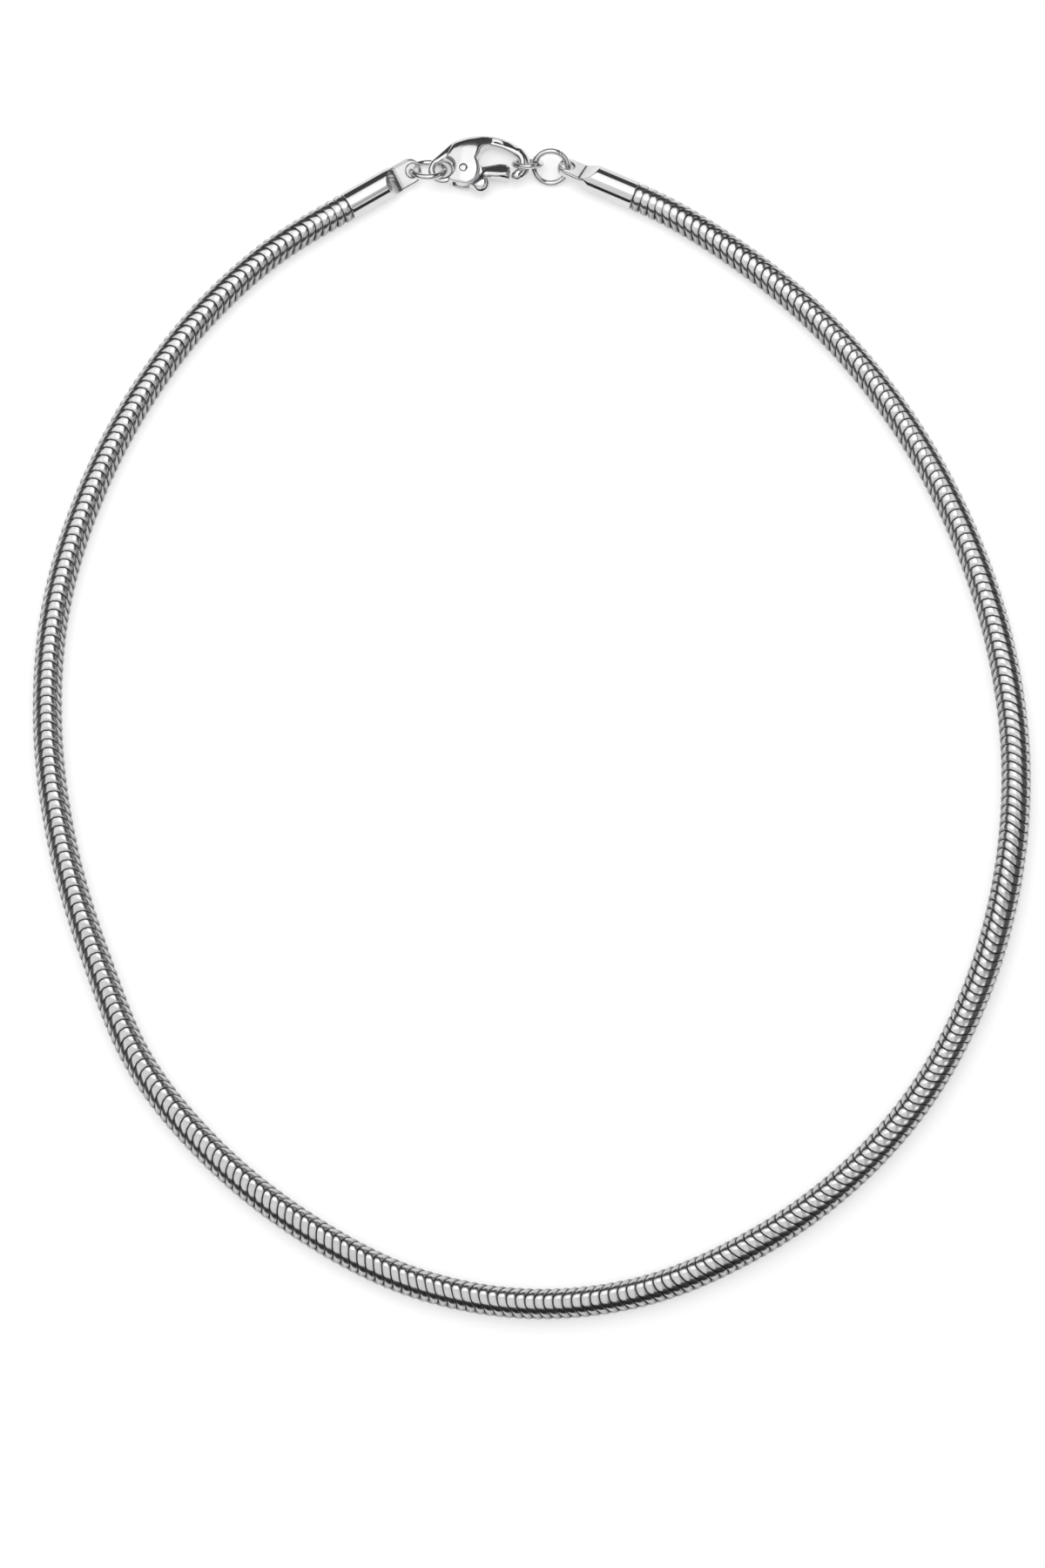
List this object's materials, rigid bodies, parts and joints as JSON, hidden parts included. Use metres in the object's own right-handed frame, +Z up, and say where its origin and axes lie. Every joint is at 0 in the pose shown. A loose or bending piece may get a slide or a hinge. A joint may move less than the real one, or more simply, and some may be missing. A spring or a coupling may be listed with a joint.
{
  "type": "snake chain necklace",
  "caption": "Round snake chain necklace of polished steel, laid flat and closed with a lobster clasp, jump rings and tubular end caps.",
  "frame": {"origin": "centre of the laid-out loop on the surface that it rests on", "axes": "+Z up from the surface, +Y from the front of the chain to the clasp, +X to the side that the clasp's hook points to"},
  "size_m": [0.1332, 0.1635, 0.004],
  "materials": {
    "chain_steel": "polished stainless steel links, bright ribs with dark grooves",
    "cap_steel": "mirror polished stainless steel",
    "ring_steel": "polished stainless steel wire",
    "clasp_steel": "mirror polished cast stainless steel"
  },
  "bodies": {
    "necklace": {"snake_chain": "chain_steel", "end_cap_left": "cap_steel", "end_cap_right": "cap_steel", "jump_ring_left": "ring_steel", "jump_ring_right": "ring_steel", "hook_ring": "ring_steel", "clasp_body": "clasp_steel", "clasp_rivet": "clasp_steel"},
    "lever": {"clasp_lever": "clasp_steel"}
  },
  "joints": [
    {"name": "lever_pivot", "type": "hinge", "parent": "necklace", "child": "lever", "pos_m": [-0.0094, 0.07675, 0.002], "axis": [0, 0, 1], "range_deg": [0, 18], "stiffness_Nm_per_rad": 0.003, "springref_deg": -17.19}
  ]
}
